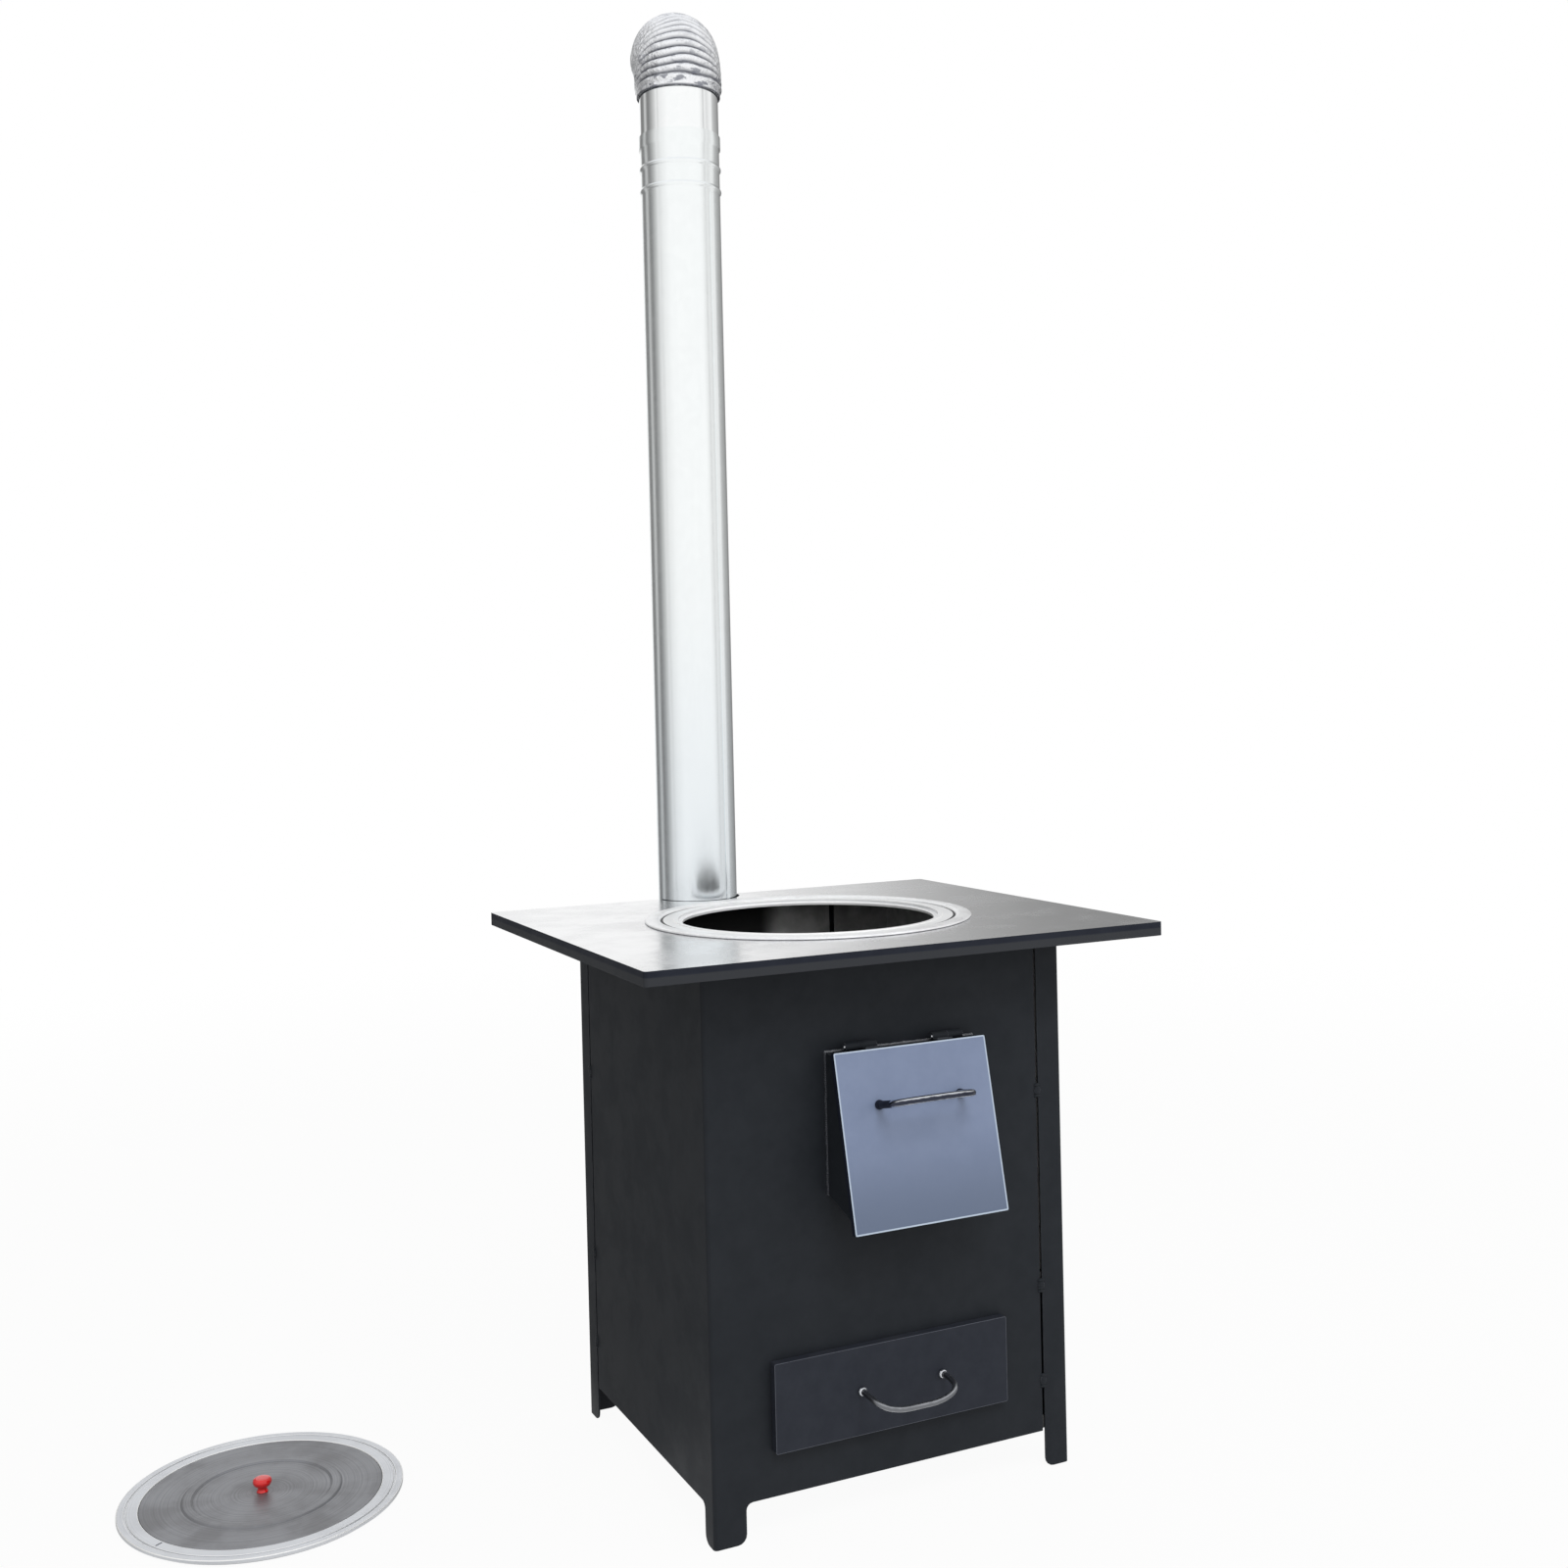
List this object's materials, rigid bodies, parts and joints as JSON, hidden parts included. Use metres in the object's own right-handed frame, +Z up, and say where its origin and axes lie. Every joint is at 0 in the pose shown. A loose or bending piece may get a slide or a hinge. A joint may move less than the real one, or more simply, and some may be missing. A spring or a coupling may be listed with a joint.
{
  "type": "camping wood stove",
  "caption": "Sheet-metal camping wood stove with cooking table, ring nest, sloping feeder hood and door, ash drawer and chimney pipe with corrugated cowl.",
  "frame": {"origin": "middle of the footprint on the floor, the loose middle ring and lid included", "axes": "+Z up along the chimney pipe, -Y towards the feeder door side, +X to the right of someone who faces the doors"},
  "size_m": [1.0484, 0.6128, 1.7415],
  "materials": {
    "black_paint": "satin black heat-resistant paint",
    "inside_steel": "bare sheet steel, smoked",
    "table_steel": "dark satin sheet steel",
    "ring_steel": "bright rolled steel",
    "lid_steel": "grey satin steel",
    "red_enamel": "red enamel",
    "galvanised_steel": "galvanised sheet steel",
    "aluminium_hose": "bright corrugated aluminium",
    "blue_grey_paint": "satin blue-grey paint",
    "bright_steel": "bright round bar",
    "cast_iron": "sand-cast, smoked"
  },
  "bodies": {
    "stove": {"front_left_shell": "black_paint", "rear_right_shell": "black_paint", "base_plate": "inside_steel", "drawer_runner_left": "inside_steel", "drawer_runner_right": "inside_steel", "grate_shelf": "inside_steel", "firebox_liner": "inside_steel", "table_top": "table_steel", "flue_collar": "galvanised_steel", "flue_elbow": "galvanised_steel", "flue_collar_screw_1": "bright_steel", "flue_collar_screw_2": "bright_steel", "flue_collar_screw_3": "bright_steel", "flue_collar_screw_4": "bright_steel", "chimney_pipe": "galvanised_steel", "feeder_hood": "black_paint", "feeder_throat": "inside_steel", "hinge_barrel_left": "black_paint", "hinge_pin_left": "bright_steel", "hinge_barrel_right": "black_paint", "hinge_pin_right": "bright_steel"},
    "feeder_door": {"feeder_door": "blue_grey_paint", "feeder_handle": "bright_steel", "feeder_handle_screw_left": "bright_steel", "feeder_handle_screw_right": "bright_steel", "hinge_leaf_left": "black_paint", "hinge_leaf_right": "black_paint"},
    "ash_drawer": {"drawer_front": "black_paint", "drawer_tray": "inside_steel", "drawer_handle": "bright_steel", "drawer_handle_screw_left": "bright_steel", "drawer_handle_screw_right": "bright_steel"},
    "grate": {"grate": "cast_iron"},
    "outer_ring": {"mouth_ring_outer": "ring_steel"},
    "middle_ring": {"mouth_ring_middle": "ring_steel"},
    "centre_lid": {"mouth_lid": "lid_steel", "lid_knob": "red_enamel"},
    "cowl": {"cowl_neck": "galvanised_steel", "cowl_hose": "aluminium_hose"}
  },
  "joints": [
    {"name": "feeder_door_hinge", "type": "hinge", "parent": "stove", "child": "feeder_door", "pos_m": [0.23525, -0.23787, 0.4913], "axis": [-1, 0, 0], "range_deg": [0, 110]},
    {"name": "ash_drawer_slide", "type": "slide", "parent": "stove", "child": "ash_drawer", "axis": [0, -1, 0], "range_m": [0, 0.26]},
    {"name": "grate_lift", "type": "slide", "parent": "stove", "child": "grate", "axis": [0, 0, 1], "range_m": [0, 0.42]},
    {"name": "outer_ring_lift", "type": "slide", "parent": "stove", "child": "outer_ring", "axis": [0, 0, 1], "range_m": [0, 0.12]},
    {"name": "middle_ring_lift", "type": "slide", "parent": "stove", "child": "middle_ring", "axis": [0, 0, 1], "range_m": [0, 0.12]},
    {"name": "centre_lid_lift", "type": "slide", "parent": "middle_ring", "child": "centre_lid", "axis": [0, 0, 1], "range_m": [0, 0.08]},
    {"name": "cowl_swivel", "type": "hinge", "parent": "stove", "child": "cowl", "pos_m": [0.19525, 0.22063, 1.564], "axis": [0, 0, 1], "continuous": true}
  ]
}
